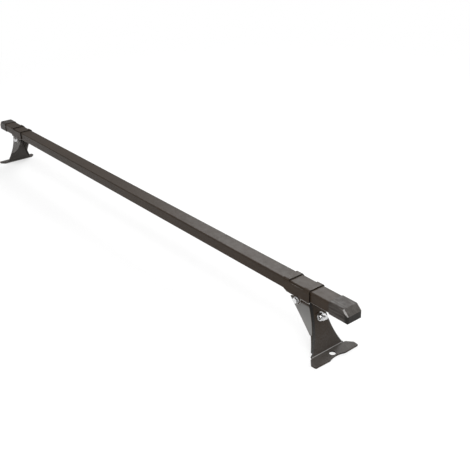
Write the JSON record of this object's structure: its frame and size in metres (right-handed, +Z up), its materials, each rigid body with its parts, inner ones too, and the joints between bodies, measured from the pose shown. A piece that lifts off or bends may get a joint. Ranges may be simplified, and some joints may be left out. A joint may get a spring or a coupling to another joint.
{
  "type": "roof rack crossbar",
  "caption": "Square steel roof rack crossbar on two pressed steel feet, with strap saddles, plastic end caps and clamp bolts.",
  "frame": {"origin": "midway between the feet, on the plane of their bases", "axes": "+X along the bar, +Y across the bar, +Z up from the roof"},
  "size_m": [1.413, 0.103, 0.1141],
  "materials": {
    "black_steel": "semi-gloss black powder coat",
    "black_plastic": "satin moulded",
    "zinc_steel": "bright zinc plated"
  },
  "bodies": {
    "bar": {"crossbar_tube": "black_steel", "left_end_cap": "black_plastic", "right_end_cap": "black_plastic"},
    "left_foot_set": {"left_saddle": "black_steel", "left_foot": "black_steel", "left_clamp_bolt": "zinc_steel", "left_clamp_head_washer": "zinc_steel", "left_clamp_nut_washer": "zinc_steel", "left_clamp_nut": "zinc_steel", "left_front_bolt": "zinc_steel", "left_front_head_washer": "zinc_steel", "left_front_washer": "zinc_steel", "left_front_nut": "zinc_steel"},
    "right_foot_set": {"right_saddle": "black_steel", "right_foot": "black_steel", "right_clamp_bolt": "zinc_steel", "right_clamp_head_washer": "zinc_steel", "right_clamp_nut_washer": "zinc_steel", "right_clamp_nut": "zinc_steel", "right_front_bolt": "zinc_steel", "right_front_head_washer": "zinc_steel", "right_front_washer": "zinc_steel", "right_front_nut": "zinc_steel"}
  },
  "joints": [
    {"name": "left_foot_slide", "type": "slide", "parent": "bar", "child": "left_foot_set", "axis": [-1, 0, 0], "range_m": [-0.25, 0.044]},
    {"name": "right_foot_slide", "type": "slide", "parent": "bar", "child": "right_foot_set", "axis": [1, 0, 0], "range_m": [-0.25, 0.044]}
  ]
}
